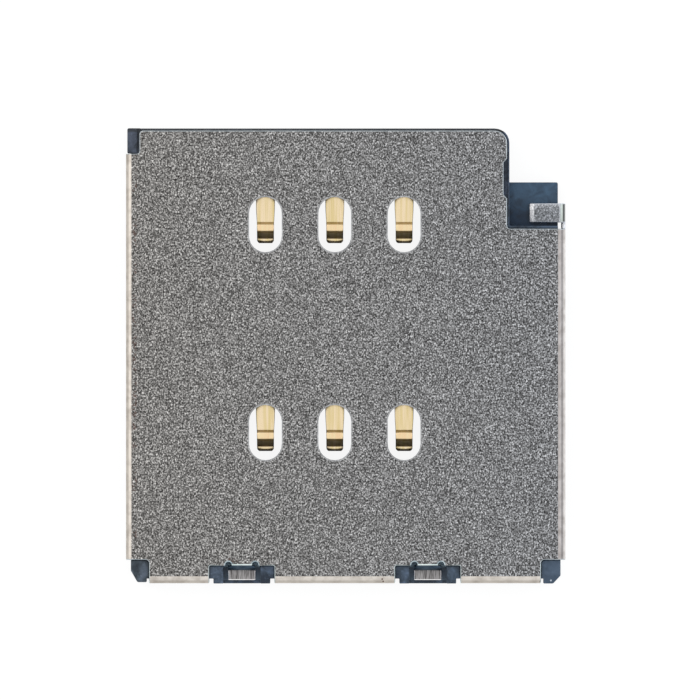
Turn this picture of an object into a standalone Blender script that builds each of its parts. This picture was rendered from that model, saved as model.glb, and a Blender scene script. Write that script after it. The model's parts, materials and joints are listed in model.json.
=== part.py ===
"""Tray-type SIM card socket for surface mounting.

A folded steel cover over a moulded insulator, with six sprung contacts and a tray-detect switch.
The board plane is z = 0, the tray enters from +Y, and the origin is under the middle of the part.
Lengths below are in millimetres; the helper functions turn them into metres.
"""
import math

import bmesh
import bpy
from mathutils import Matrix, Vector

MM = 0.001
ARC_STEP = math.radians(15)
WELD = 0.0001

# Overall size, with the middle of the length a little ahead of the origin
SOCKET_WIDTH = 16.10
SOCKET_LENGTH = 16.68
SOCKET_HEIGHT = 1.40
MIDDLE_Y = 0.01
HALF_WIDTH = SOCKET_WIDTH / 2
HOUSING_FRONT = MIDDLE_Y + SOCKET_LENGTH / 2
BOSS_REAR = MIDDLE_Y - SOCKET_LENGTH / 2

# Steel sheet of the cover
SHEET = 0.15
BEND_RADIUS = 0.25
FRONT_SETBACK = 0.09
REAR_SETBACK = 0.01
SHELL_FRONT = HOUSING_FRONT - FRONT_SETBACK
SHELL_REAR = BOSS_REAR + REAR_SETBACK
WALL_BOTTOM = 0.20
FOOT_WIDTH = 1.20
LEFT_FEET = (5.9, 0.0, -5.9)
RIGHT_FEET = (3.2, -1.6, -6.2)
PLATE_CORNER = 0.13
NOTCH_CORNER = 0.06
SMALL_CORNER = 0.04

# Clearances between the cover and the moulding
TOP_CLEARANCE = 0.02
SIDE_CLEARANCE = 0.03
EDGE_CLEARANCE = 0.02

# Front-left corner of the cover
FRONT_LEFT_WIDTH = 0.493
FRONT_LEFT_LENGTH = 0.845
FRONT_LEFT_EDGE = -HALF_WIDTH + FRONT_LEFT_WIDTH
LEFT_WALL_FRONT = SHELL_FRONT - FRONT_LEFT_LENGTH

# Front-right cut-out of the cover, with its shallow edge recess
CUTOUT_WIDTH = 2.138
CUTOUT_LENGTH = 3.59
CUTOUT_CORNER = 0.45
CUTOUT_INNER_CORNER = 0.12
CUTOUT_LEFT = HALF_WIDTH - CUTOUT_WIDTH
CUTOUT_REAR = SHELL_FRONT - CUTOUT_LENGTH
RECESS_DEPTH = 0.13
RECESS_SETBACK = 1.17
RECESS_LENGTH = 1.17
RECESS_CHAMFER = 0.15
RECESS_FRONT = SHELL_FRONT - RECESS_SETBACK
RECESS_REAR = RECESS_FRONT - RECESS_LENGTH

# Moulding
FLOOR = 0.35
POST_DROP = 0.10
POST_TOP = SOCKET_HEIGHT - POST_DROP
LEFT_RAIL = 0.515
MIDDLE_RAIL = 0.15
REAR_WALL = 1.07
CAVITY_LEFT = -HALF_WIDTH + LEFT_RAIL
CAVITY_RIGHT = CUTOUT_LEFT - MIDDLE_RAIL
CAVITY_REAR = SHELL_REAR + REAR_WALL
CAVITY_CORNER = 0.10
LIP = 0.085
LEAD_IN = 0.10
LEFT_POST_INSET = 0.05
LEFT_POST_WIDTH = 0.36
LEFT_POST_OUTER = -HALF_WIDTH + LEFT_POST_INSET
LEFT_POST_INNER = LEFT_POST_OUTER + LEFT_POST_WIDTH
EDGE_CORNER = 0.03

# Low block in the cut-out and the strap folded over it
BLOCK_INSET = 0.273
BLOCK_SETBACK = 1.978
BLOCK_RIGHT = HALF_WIDTH - BLOCK_INSET
BLOCK_FRONT = HOUSING_FRONT - BLOCK_SETBACK
BLOCK_TOP = 0.70
BLOCK_CORNER = 0.05
STRAP_WIDTH = 0.70
STRAP_LENGTH = 1.325
STRAP_OFFSET = 0.23
STRAP_REAR = CUTOUT_REAR + STRAP_OFFSET
STRAP_FRONT = STRAP_REAR + STRAP_WIDTH
STRAP_GAP = 0.05
STRAP_LINK_TOP = 0.45
STRAP_END_BEND = 0.20
STRAP_END_LENGTH = 0.18
STRAP_END_DROP = 0.07

# Rear corners
REAR_LEFT_WIDTH = 0.845
REAR_RIGHT_WIDTH = 0.896
REAR_CORNER_LENGTH = 0.86
REAR_LEFT_CUT = -HALF_WIDTH + REAR_LEFT_WIDTH
REAR_RIGHT_CUT = HALF_WIDTH - REAR_RIGHT_WIDTH
REAR_CUT_FRONT = SHELL_REAR + REAR_CORNER_LENGTH
CORNER_POST_GAP = 0.09
LEFT_POST_SHORT = 0.04
POST_REAR = SHELL_REAR + LEFT_POST_SHORT
LEFT_POST_CHAMFER = (0.24, 0.42)
RIGHT_POST_CHAMFER = (0.27, 0.29)
POST_CORNER = 0.08

# Rear notches, each with a latch tab between two bend reliefs
NOTCH_CENTRES = (-3.806, 3.007)
NOTCH_WIDTH = 2.39
NOTCH_LENGTH = 0.65
NOTCH_FRONT = SHELL_REAR + NOTCH_LENGTH
RELIEF_OFFSET = 0.49
RELIEF_RADIUS = 0.12
RELIEF_DEPTH = 0.144
RELIEF_CORNER = 0.02
LATCH_WIDTH = 1.00
LATCH_BEND = 0.18
LATCH_FOOT_BEND = 0.03
LATCH_FOOT_TOP = 0.97
LATCH_SHORT = 0.12
LATCH_END = SHELL_REAR + LATCH_SHORT
BOSS_WIDTH = 2.08
LATCH_POCKET_WIDTH = 1.37
LATCH_POCKET_LENGTH = 0.82
LATCH_POCKET_FRONT = SHELL_REAR + LATCH_POCKET_LENGTH
LATCH_POCKET_FLOOR = 0.60

# Windows in the side walls that snap over wedges on the moulding
SNAP_WIDTH = 1.20
SNAP_BOTTOM = 0.62
SNAP_HEIGHT = 0.30
SNAP_CLEARANCE = 0.05
SNAP_REACH = 0.14
LEFT_SNAPS = (3.40, -3.60)
RIGHT_SNAPS = (1.90, -4.40)

# Contacts, on the standard card grid
COLUMN_PITCH = 2.54
ROW_PITCH = 7.62
FIRST_COLUMN = -2.94
CREST_SETBACK = 3.57
FRONT_CREST = SHELL_FRONT - CREST_SETBACK
CONTACT_NAMES = (("contact_c1", "contact_c2", "contact_c3"), ("contact_c5", "contact_c6", "contact_c7"))
SLOT_WIDTH = 1.20
SLOT_LENGTH = 2.02
SLOT_AHEAD_OF_CREST = 0.13

# Contact stamping: a low tail, wings at the pivot, a rise, a level stretch, the crest and a lip
CONTACT_SHEET = 0.10
PIVOT_HEIGHT = 0.12
PIVOT_FROM_CREST = 2.65
TAIL_LENGTH = 0.65
TAIL_WIDTH = 0.60
TAIL_STEP = 0.10
WING_LENGTH = 0.40
WING_WIDTH = 1.60
ARM_WIDTH = 0.94
ARM_BEND = 0.20
ARM_SHOULDER = 2.05
LEVEL_TOP = 1.07
LEVEL_LENGTH = 1.38
WAIST_WIDTH = 0.70
WAIST_FROM_CREST = 1.05
NOSE_WIDTH = 0.62
CREASE_FROM_CREST = 0.235
CREST_TOP = 1.20
CREST_BACK = 0.12
CREST_AHEAD = 0.09
LIP_REACH = 0.37
LIP_DROP = 0.38
TIP_REACH = 0.58
TIP_DROP = 0.44
STRIP_BEND = 0.07

# Windows in the floor under the contacts, and pockets that hold their wings
WINDOW_WIDTH = 1.30
WINDOW_PAST_TIP = 0.42
WINDOW_CORNER = 0.08
WING_CLEARANCE = 0.03
ROCK_CLEARANCE = 0.07

# Tray-detect switch, in a pocket of the right-hand body
DETECT_SHEET = 0.12
LEAF_OFFSET = 0.738
LEAF_REACH = 0.312
DETECT_PIVOT_X = CAVITY_RIGHT + LEAF_OFFSET
DETECT_PIVOT_Y = -2.40
DETECT_NOSE_X = CAVITY_RIGHT - LEAF_REACH
DETECT_LEAF_LENGTH = 4.10
DETECT_BLADE_LENGTH = 3.20
DETECT_BOTTOM = 0.45
DETECT_TOP = 1.00
DETECT_ANCHOR = 0.60
DETECT_ROOT = 0.10
DETECT_TRAVEL = 0.27
LEAF_KNEE = 1.45
LEAF_NOSE_BACK = 0.75
LEAF_NOSE_AHEAD = 0.50
LEAF_TIP_X = -0.20
LEAF_KNEE_BEND = 0.30
LEAF_NOSE_BEND = 0.15
ANCHOR_SLOT_AHEAD = 0.20
SWITCH_INNER_WALL = 0.338
SWITCH_OUTER_WALL = 0.80
SWITCH_POCKET_LEFT = CAVITY_RIGHT + SWITCH_INNER_WALL
SWITCH_POCKET_RIGHT = HALF_WIDTH - SWITCH_OUTER_WALL
SWITCH_POCKET_PAST_LEAF = 0.30
SWITCH_MOUTH_LENGTH = 1.80

# Places worked out from the sizes above
PLATE_BOTTOM = SOCKET_HEIGHT - SHEET
RAIL_TOP = PLATE_BOTTOM - TOP_CLEARANCE
HOUSING_SIDE = HALF_WIDTH - SHEET - SIDE_CLEARANCE
HOUSING_REAR = SHELL_REAR + SHEET + EDGE_CLEARANCE
LATCH_NECK = RELIEF_OFFSET - RELIEF_RADIUS
LATCH_ROOT = NOTCH_FRONT + RELIEF_DEPTH - RELIEF_RADIUS
INSIDE_WALLS = HALF_WIDTH - 4 * SHEET
BELOW = -1.0
ABOVE = 3.0
OUTSIDE = 10.0

WORLD_UP = Matrix.Identity(4)
ALONG_X = Matrix(((0, 0, 1, 0), (1, 0, 0, 0), (0, 1, 0, 0), (0, 0, 0, 1)))
ALONG_Y = Matrix(((1, 0, 0, 0), (0, 0, -1, 0), (0, 1, 0, 0), (0, 0, 0, 1)))


def clear_scene():
    for item in list(bpy.data.objects):
        bpy.data.objects.remove(item, do_unlink=True)


def new_collection(name):
    collection = bpy.data.collections.new(name)
    bpy.context.scene.collection.children.link(collection)
    return collection


def principled(name, colour, metallic, roughness):
    material = bpy.data.materials.new(name)
    material.use_nodes = True
    shader = material.node_tree.nodes["Principled BSDF"]
    shader.inputs["Base Color"].default_value = (*colour, 1.0)
    shader.inputs["Metallic"].default_value = metallic
    shader.inputs["Roughness"].default_value = roughness
    return material


def rounded_path(corners, closed=True):
    """Points of a path through (u, v, radius) corners, each rounded with an arc."""
    path = []
    count = len(corners)
    for index, (u, v, radius) in enumerate(corners):
        here = Vector((u, v))
        is_end = not closed and index in (0, count - 1)
        if radius == 0 or is_end:
            path.append(here)
            continue
        before = (Vector(corners[index - 1][:2]) - here).normalized()
        after = (Vector(corners[(index + 1) % count][:2]) - here).normalized()
        half = before.angle(after) / 2
        centre = here + (before + after).normalized() * (radius / math.sin(half))
        spoke = here + before * (radius / math.tan(half)) - centre
        turn = math.pi - 2 * half
        if before.x * after.y - before.y * after.x > 0:
            turn = -turn
        steps = max(2, math.ceil(abs(turn) / ARC_STEP))
        for step in range(steps + 1):
            path.append(centre + Matrix.Rotation(turn * step / steps, 2) @ spoke)
    kept = [path[0]]
    for point in path[1:]:
        if (point - kept[-1]).length > WELD:
            kept.append(point)
    if closed and (kept[-1] - kept[0]).length < WELD:
        kept.pop()
    return kept


def box_corners(u0, v0, u1, v1, radius=0):
    return [(u0, v0, radius), (u1, v0, radius), (u1, v1, radius), (u0, v1, radius)]


def curve_mesh(name, path, depth, closed):
    """Mesh of a 2D curve extruded to a depth: a solid if closed, a ribbon if open."""
    curve = bpy.data.curves.new(name, "CURVE")
    curve.dimensions = "2D"
    curve.fill_mode = "BOTH" if closed else "NONE"
    curve.extrude = depth * MM / 2
    spline = curve.splines.new("POLY")
    spline.points.add(len(path) - 1)
    for point, spot in zip(spline.points, path):
        point.co = (spot[0] * MM, spot[1] * MM, 0, 1)
    spline.use_cyclic_u = closed
    item = bpy.data.objects.new(name, curve)
    bpy.context.scene.collection.objects.link(item)
    evaluated = item.evaluated_get(bpy.context.evaluated_depsgraph_get())
    mesh = bpy.data.meshes.new_from_object(evaluated)
    bpy.data.objects.remove(item, do_unlink=True)
    bpy.data.curves.remove(curve)
    shape = bmesh.new()
    shape.from_mesh(mesh)
    bmesh.ops.remove_doubles(shape, verts=shape.verts, dist=WELD * MM)
    if closed:
        for side in (-1, 1) if depth else (0,):
            cap = [face for face in shape.faces if all(vert.co.z * side >= 0 for vert in face.verts)]
            bmesh.ops.dissolve_faces(shape, faces=cap)
    bmesh.ops.recalc_face_normals(shape, faces=shape.faces)
    shape.to_mesh(mesh)
    shape.free()
    mesh.name = name
    return mesh


def place(mesh, turn, low, high):
    """Turn a mesh made about its own plane and lay it between two heights of its depth axis."""
    middle = Matrix.Translation((0, 0, (low + high) * MM / 2))
    mesh.transform(turn @ middle)
    return mesh


def prism(name, path, low, high, turn=WORLD_UP):
    mesh = curve_mesh(name, path, high - low, closed=True)
    item = bpy.data.objects.new(name, place(mesh, turn, low, high))
    cutters.objects.link(item)
    item.hide_render = True
    item.display_type = "WIRE"
    return item


def folded_strip(name, path, thickness, low, high, turn):
    """A strip of sheet folded along a path, which is the middle of its thickness."""
    mesh = curve_mesh(name, path, high - low, closed=False)
    item = bpy.data.objects.new(name, place(mesh, turn, low, high))
    cutters.objects.link(item)
    item.hide_render = True
    item.display_type = "WIRE"
    solidify = item.modifiers.new("thickness", "SOLIDIFY")
    solidify.thickness = thickness * MM
    solidify.offset = 0
    solidify.use_even_offset = True
    return item


def combine(target, tool, operation):
    step = target.modifiers.new(tool.name, "BOOLEAN")
    step.operation = operation
    step.solver = "EXACT"
    step.object = tool


def cut(target, *tools):
    """Note cuts, which are added once every cutter is drawn, so each is worked out only once."""
    planned.extend((target, tool, "DIFFERENCE") for tool in tools)


def join(target, *tools):
    planned.extend((target, tool, "UNION") for tool in tools)


def as_part(item, name, material):
    """Move a worked-on object from the cutters to the parts."""
    cutters.objects.unlink(item)
    parts.objects.link(item)
    item.name = name
    item.hide_render = False
    item.display_type = "TEXTURED"
    item.data.materials.clear()
    item.data.materials.append(material)
    item.data.shade_smooth()
    item.data.set_sharp_from_angle(angle=math.radians(30))
    return item


def crest_places():
    """Name, x and y of every contact's crest."""
    for row, names in enumerate(CONTACT_NAMES):
        for column, name in enumerate(names):
            yield name, FIRST_COLUMN + column * COLUMN_PITCH, FRONT_CREST - row * ROW_PITCH


def plate_outline():
    """Edge of the flat plate, up to where its walls, flange and latch tabs bend down."""
    wall_bend = HALF_WIDTH - BEND_RADIUS
    flange_bend = SHELL_REAR + BEND_RADIUS
    corners = [
        (FRONT_LEFT_EDGE, SHELL_FRONT, PLATE_CORNER),
        (FRONT_LEFT_EDGE, LEFT_WALL_FRONT, CAVITY_CORNER),
        (-wall_bend, LEFT_WALL_FRONT, 0),
        (-wall_bend, REAR_CUT_FRONT, 0),
        (REAR_LEFT_CUT, REAR_CUT_FRONT, PLATE_CORNER),
        (REAR_LEFT_CUT, flange_bend, 0),
    ]
    for centre in NOTCH_CENTRES:
        relief = RELIEF_OFFSET + RELIEF_RADIUS
        top = NOTCH_FRONT + RELIEF_DEPTH
        corners.extend([
            (centre - NOTCH_WIDTH / 2, flange_bend, 0),
            (centre - NOTCH_WIDTH / 2, NOTCH_FRONT, NOTCH_CORNER),
            (centre - relief, NOTCH_FRONT, RELIEF_CORNER),
            (centre - relief, top, RELIEF_RADIUS),
            (centre - LATCH_NECK, top, RELIEF_RADIUS),
            (centre - LATCH_NECK, LATCH_ROOT, 0),
            (centre + LATCH_NECK, LATCH_ROOT, 0),
            (centre + LATCH_NECK, top, RELIEF_RADIUS),
            (centre + relief, top, RELIEF_RADIUS),
            (centre + relief, NOTCH_FRONT, RELIEF_CORNER),
            (centre + NOTCH_WIDTH / 2, NOTCH_FRONT, NOTCH_CORNER),
            (centre + NOTCH_WIDTH / 2, flange_bend, 0),
        ])
    corners.extend([
        (REAR_RIGHT_CUT, flange_bend, 0),
        (REAR_RIGHT_CUT, REAR_CUT_FRONT, PLATE_CORNER),
        (wall_bend, REAR_CUT_FRONT, 0),
        (wall_bend, CUTOUT_REAR, 0),
        (CUTOUT_LEFT, CUTOUT_REAR, CUTOUT_INNER_CORNER),
        (CUTOUT_LEFT, RECESS_REAR - RECESS_CHAMFER, SMALL_CORNER),
        (CUTOUT_LEFT - RECESS_DEPTH, RECESS_REAR, SMALL_CORNER),
        (CUTOUT_LEFT - RECESS_DEPTH, RECESS_FRONT, SMALL_CORNER),
        (CUTOUT_LEFT, RECESS_FRONT + RECESS_CHAMFER, SMALL_CORNER),
        (CUTOUT_LEFT, SHELL_FRONT, CUTOUT_CORNER),
    ])
    return rounded_path(corners)


def edge_at(shape, first, last):
    """The sheet's edge between two points given in millimetres."""
    ends = (Vector(first) * MM, Vector(last) * MM)
    for edge in shape.edges:
        first_end, last_end = [vert.co for vert in edge.verts]
        for here, there in (ends, reversed(ends)):
            if (first_end - here).length < WELD * MM and (last_end - there).length < WELD * MM:
                return edge
    raise ValueError(f"no edge of the sheet runs from {first} to {last}")


def fold(shape, edge, direction, profile, widths=()):
    """Carry an edge of the sheet along a profile of (out, up) steps from where it lies."""
    start = [vert.co.copy() for vert in edge.verts]
    middle = (start[0] + start[1]) / 2
    along = (start[1] - start[0]).normalized()
    for index, (out, up) in enumerate(profile[1:]):
        grown = bmesh.ops.extrude_edge_only(shape, edges=[edge])["geom"]
        edge = next(item for item in grown if isinstance(item, bmesh.types.BMEdge))
        wider = widths[index] if widths else 1
        ends = sorted(edge.verts, key=lambda vert: vert.co.dot(along))
        for vert, origin in zip(ends, start):
            base = middle + (origin - middle) * wider
            vert.co = base + (Vector(direction) * out + Vector((0, 0, up))) * MM
    return edge


def sheet_cover():
    """The whole cover as one folded surface: plate, walls, flange, latch tabs and strap."""
    mesh = curve_mesh("cover_sheet", plate_outline(), 0, closed=True)
    mesh.transform(Matrix.Translation((0, 0, SOCKET_HEIGHT * MM)))
    shape = bmesh.new()
    shape.from_mesh(mesh)
    top = SOCKET_HEIGHT
    wall_bend = HALF_WIDTH - BEND_RADIUS
    flange_bend = SHELL_REAR + BEND_RADIUS
    down = rounded_path([
        (0, 0, 0),
        (BEND_RADIUS, 0, BEND_RADIUS),
        (BEND_RADIUS, STRAP_LINK_TOP - top, 0),
        (BEND_RADIUS, WALL_BOTTOM - top, 0),
        (BEND_RADIUS, -top, 0),
    ], closed=False)

    left = edge_at(shape, (-wall_bend, LEFT_WALL_FRONT, top), (-wall_bend, REAR_CUT_FRONT, top))
    fold(shape, left, (-1, 0, 0), down)
    right = edge_at(shape, (wall_bend, CUTOUT_REAR, top), (wall_bend, REAR_CUT_FRONT, top))
    fold(shape, right, (1, 0, 0), down)

    stops = [REAR_LEFT_CUT]
    for centre in NOTCH_CENTRES:
        stops.extend((centre - NOTCH_WIDTH / 2, centre + NOTCH_WIDTH / 2))
    stops.append(REAR_RIGHT_CUT)
    for index in range(0, len(stops), 2):
        rear = edge_at(shape, (stops[index], flange_bend, top), (stops[index + 1], flange_bend, top))
        fold(shape, rear, (0, -1, 0), down[:-1])

    latch = rounded_path([
        (0, 0, 0),
        (LATCH_BEND, 0, LATCH_BEND),
        (LATCH_BEND, LATCH_FOOT_TOP - top, LATCH_FOOT_BEND),
        (LATCH_ROOT - LATCH_END, LATCH_FOOT_TOP - top, 0),
    ], closed=False)
    full = LATCH_WIDTH / 2 / LATCH_NECK
    widths = [1 if out < LATCH_BEND / 2 else full for out, _ in latch[1:]]
    for centre in NOTCH_CENTRES:
        root = edge_at(shape, (centre - LATCH_NECK, LATCH_ROOT, top), (centre + LATCH_NECK, LATCH_ROOT, top))
        fold(shape, root, (0, -1, 0), latch, widths)

    link = edge_at(shape, (HALF_WIDTH, CUTOUT_REAR, STRAP_LINK_TOP), (HALF_WIDTH, CUTOUT_REAR, WALL_BOTTOM))
    ahead = [(0, 0), (STRAP_REAR - CUTOUT_REAR, 0), (STRAP_FRONT - CUTOUT_REAR, 0)]
    fold(shape, link, (0, 1, 0), [Vector(step) for step in ahead])
    strap_top = BLOCK_TOP + STRAP_GAP + SHEET - STRAP_LINK_TOP
    strap = rounded_path([
        (0, 0, 0),
        (0, strap_top, BEND_RADIUS),
        (STRAP_LENGTH - STRAP_END_LENGTH, strap_top, STRAP_END_BEND),
        (STRAP_LENGTH, strap_top - STRAP_END_DROP, 0),
    ], closed=False)
    riser = edge_at(shape, (HALF_WIDTH, STRAP_REAR, STRAP_LINK_TOP), (HALF_WIDTH, STRAP_FRONT, STRAP_LINK_TOP))
    fold(shape, riser, (-1, 0, 0), strap)

    bmesh.ops.recalc_face_normals(shape, faces=shape.faces)
    plate = max(shape.faces, key=lambda face: face.calc_area())
    if plate.normal.z < 0:
        bmesh.ops.reverse_faces(shape, faces=shape.faces)
    shape.to_mesh(mesh)
    shape.free()
    cover = bpy.data.objects.new("cover_sheet", mesh)
    cutters.objects.link(cover)
    solidify = cover.modifiers.new("sheet", "SOLIDIFY")
    solidify.thickness = SHEET * MM
    solidify.offset = -1
    solidify.use_even_offset = True
    return cover


def wall_trim(name, front, rear, feet, low, high):
    """Cutters between the solder feet of one side wall."""
    stops = [front]
    for middle in sorted(feet, reverse=True):
        stops.extend((middle + FOOT_WIDTH / 2, middle - FOOT_WIDTH / 2))
    stops.append(rear)
    tools = []
    for index in range(0, len(stops), 2):
        corners = box_corners(stops[index + 1], BELOW, stops[index], WALL_BOTTOM, NOTCH_CORNER)
        tools.append(prism(f"{name}_{index}", rounded_path(corners), low, high, ALONG_X))
    return tools


def make_shell(material):
    cover = sheet_cover()
    for _, x, y in crest_places():
        middle = y + SLOT_AHEAD_OF_CREST
        half_width = SLOT_WIDTH / 2
        half_length = SLOT_LENGTH / 2
        corners = box_corners(x - half_width, middle - half_length, x + half_width, middle + half_length,
                              half_width)
        cut(cover, prism("contact_slot", rounded_path(corners), BELOW, ABOVE))
    cut(cover, *wall_trim("left_trim", OUTSIDE, -OUTSIDE, LEFT_FEET, -OUTSIDE, -INSIDE_WALLS))
    cut(cover, *wall_trim("right_trim", OUTSIDE, -OUTSIDE, RIGHT_FEET, INSIDE_WALLS, OUTSIDE))
    for side, snaps in ((-1, LEFT_SNAPS), (1, RIGHT_SNAPS)):
        for y in snaps:
            window = box_corners(y - SNAP_WIDTH / 2, SNAP_BOTTOM, y + SNAP_WIDTH / 2,
                                 SNAP_BOTTOM + SNAP_HEIGHT, SMALL_CORNER)
            low, high = sorted((side * INSIDE_WALLS, side * OUTSIDE))
            cut(cover, prism("snap_window", rounded_path(window), low, high, ALONG_X))
    return as_part(cover, "shell", material)


def housing_outline():
    """Plan of the moulding at board level."""
    side = HOUSING_SIDE
    left_post_right = REAR_LEFT_CUT - CORNER_POST_GAP
    right_post_left = REAR_RIGHT_CUT + CORNER_POST_GAP
    left_in, left_up = LEFT_POST_CHAMFER
    right_in, right_up = RIGHT_POST_CHAMFER
    corners = [
        (LEFT_POST_OUTER, HOUSING_FRONT, NOTCH_CORNER),
        (LEFT_POST_OUTER, LEFT_WALL_FRONT + EDGE_CLEARANCE, EDGE_CORNER),
        (-side, LEFT_WALL_FRONT + EDGE_CLEARANCE, 0),
        (-side, POST_REAR + left_up, 0),
        (-side + left_in, POST_REAR, POST_CORNER),
        (left_post_right, POST_REAR, EDGE_CORNER),
        (left_post_right, HOUSING_REAR, 0),
    ]
    for centre in NOTCH_CENTRES:
        corners.extend([
            (centre - BOSS_WIDTH / 2, HOUSING_REAR, 0),
            (centre - BOSS_WIDTH / 2, BOSS_REAR, EDGE_CORNER),
            (centre + BOSS_WIDTH / 2, BOSS_REAR, EDGE_CORNER),
            (centre + BOSS_WIDTH / 2, HOUSING_REAR, 0),
        ])
    corners.extend([
        (right_post_left, HOUSING_REAR, 0),
        (right_post_left, BOSS_REAR, EDGE_CORNER),
        (side - right_in, BOSS_REAR, POST_CORNER),
        (side, BOSS_REAR + right_up, 0),
        (side, CUTOUT_REAR - EDGE_CLEARANCE, 0),
        (BLOCK_RIGHT, CUTOUT_REAR - EDGE_CLEARANCE, 0),
        (BLOCK_RIGHT, BLOCK_FRONT, NOTCH_CORNER),
        (CUTOUT_LEFT + LIP, BLOCK_FRONT, 0),
        (CUTOUT_LEFT + LIP, HOUSING_FRONT, CUTOUT_CORNER + LIP),
    ])
    return rounded_path(corners)


def under_cover_outline():
    """Where the moulding stays below the plate; outside it, posts, bosses and lip stand higher."""
    gap = EDGE_CLEARANCE
    rear = REAR_CUT_FRONT - gap
    corners = [
        (LEFT_POST_INNER, OUTSIDE, 0),
        (LEFT_POST_INNER, LEFT_WALL_FRONT + gap, 0),
        (-OUTSIDE, LEFT_WALL_FRONT + gap, 0),
        (-OUTSIDE, rear, 0),
        (REAR_LEFT_CUT - gap, rear, PLATE_CORNER),
        (REAR_LEFT_CUT - gap, -OUTSIDE, 0),
    ]
    for centre in NOTCH_CENTRES:
        half = NOTCH_WIDTH / 2 - gap
        corners.extend([
            (centre - half, -OUTSIDE, 0),
            (centre - half, NOTCH_FRONT - gap, NOTCH_CORNER),
            (centre + half, NOTCH_FRONT - gap, NOTCH_CORNER),
            (centre + half, -OUTSIDE, 0),
        ])
    corners.extend([
        (REAR_RIGHT_CUT + gap, -OUTSIDE, 0),
        (REAR_RIGHT_CUT + gap, rear, PLATE_CORNER),
        (OUTSIDE, rear, 0),
        (OUTSIDE, CUTOUT_REAR + gap, 0),
        (CUTOUT_LEFT + gap, CUTOUT_REAR + gap, CUTOUT_INNER_CORNER - gap),
        (CUTOUT_LEFT + gap, SHELL_FRONT + gap, CUTOUT_CORNER + gap),
        (0, SHELL_FRONT + gap, 0),
        (0, OUTSIDE, 0),
    ])
    return rounded_path(corners)


def snap_wedge(side, y):
    """Wedge that a window of the cover's side wall drops over."""
    bottom = SNAP_BOTTOM + SNAP_CLEARANCE
    top = SNAP_BOTTOM + SNAP_HEIGHT - SNAP_CLEARANCE
    proud = HOUSING_SIDE + SNAP_REACH
    profile = [
        (side * (HOUSING_SIDE - SNAP_REACH), bottom, 0),
        (side * proud, bottom, 0),
        (side * proud, bottom + SNAP_CLEARANCE, 0),
        (side * HOUSING_SIDE, top, 0),
        (side * (HOUSING_SIDE - SNAP_REACH), top, 0),
    ]
    half = SNAP_WIDTH / 2 - SNAP_CLEARANCE
    return prism("snap_wedge", rounded_path(profile), -y - half, -y + half, ALONG_Y)


def make_housing(material):
    body = prism("housing_body", housing_outline(), 0, POST_TOP)
    cut(body, prism("under_cover", under_cover_outline(), RAIL_TOP, ABOVE))
    for side, snaps in ((-1, LEFT_SNAPS), (1, RIGHT_SNAPS)):
        join(body, *[snap_wedge(side, y) for y in snaps])
    cavity = box_corners(CAVITY_LEFT, CAVITY_REAR, CAVITY_RIGHT, OUTSIDE, CAVITY_CORNER)
    cut(body, prism("tray_cavity", rounded_path(cavity), FLOOR, ABOVE))

    mouth = [(HOUSING_FRONT - LEAD_IN, FLOOR), (OUTSIDE, FLOOR - LEAD_IN - OUTSIDE + HOUSING_FRONT),
             (OUTSIDE, ABOVE), (HOUSING_FRONT - LEAD_IN, ABOVE)]
    cut(body, prism("mouth_chamfer", mouth, CAVITY_LEFT, CAVITY_RIGHT, ALONG_X))

    block_rear = CUTOUT_REAR + EDGE_CLEARANCE + LIP
    over_block = box_corners(CUTOUT_LEFT + LIP, block_rear, OUTSIDE, OUTSIDE, BLOCK_CORNER)
    cut(body, prism("over_block", rounded_path(over_block), BLOCK_TOP, ABOVE))

    for _, x, y in crest_places():
        half = WINDOW_WIDTH / 2
        tip = y - TIP_REACH
        tail = y + PIVOT_FROM_CREST + TAIL_LENGTH
        window = box_corners(x - half, tip - WINDOW_PAST_TIP, x + half, tail + EDGE_CLEARANCE * 2,
                             WINDOW_CORNER)
        cut(body, prism("contact_window", rounded_path(window), BELOW, ABOVE))
        half_wing = WING_WIDTH / 2 + WING_CLEARANCE
        reach = WING_LENGTH / 2 + ROCK_CLEARANCE
        pivot = y + PIVOT_FROM_CREST
        pocket = box_corners(x - half_wing, pivot - reach, x + half_wing, pivot + reach)
        pocket_top = PIVOT_HEIGHT + CONTACT_SHEET / 2 + ROCK_CLEARANCE
        cut(body, prism("wing_pocket", rounded_path(pocket), BELOW, pocket_top))

    for centre in NOTCH_CENTRES:
        half = LATCH_POCKET_WIDTH / 2
        pocket = box_corners(centre - half, -OUTSIDE, centre + half, LATCH_POCKET_FRONT)
        cut(body, prism("latch_pocket", rounded_path(pocket), LATCH_POCKET_FLOOR, ABOVE))

    pocket_rear = DETECT_PIVOT_Y - DETECT_LEAF_LENGTH - SWITCH_POCKET_PAST_LEAF
    pocket = box_corners(SWITCH_POCKET_LEFT, pocket_rear, SWITCH_POCKET_RIGHT, DETECT_PIVOT_Y,
                         WINDOW_CORNER)
    cut(body, prism("switch_pocket", rounded_path(pocket), FLOOR, ABOVE))
    middle = (SWITCH_POCKET_LEFT + SWITCH_POCKET_RIGHT) / 2
    inside = (CAVITY_LEFT + CAVITY_RIGHT) / 2
    mouth = box_corners(inside, pocket_rear, middle, pocket_rear + SWITCH_MOUTH_LENGTH)
    cut(body, prism("switch_mouth", rounded_path(mouth), FLOOR, ABOVE))
    slot_front = DETECT_PIVOT_Y - ANCHOR_SLOT_AHEAD
    slot_rear = DETECT_PIVOT_Y + DETECT_ANCHOR
    slot = DETECT_SHEET / 2 + ROCK_CLEARANCE
    anchor = box_corners(DETECT_PIVOT_X - slot, slot_front, DETECT_PIVOT_X + slot,
                         slot_rear + EDGE_CLEARANCE * 2)
    cut(body, prism("leaf_anchor_slot", rounded_path(anchor), BELOW, ABOVE))
    blade_x = terminal_middle()
    slot = DETECT_SHEET / 2 + EDGE_CLEARANCE
    blade = box_corners(blade_x - slot, slot_front, blade_x + slot, slot_rear + EDGE_CLEARANCE)
    cut(body, prism("terminal_slot", rounded_path(blade), BELOW, ABOVE))

    return as_part(body, "housing", material)


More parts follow.
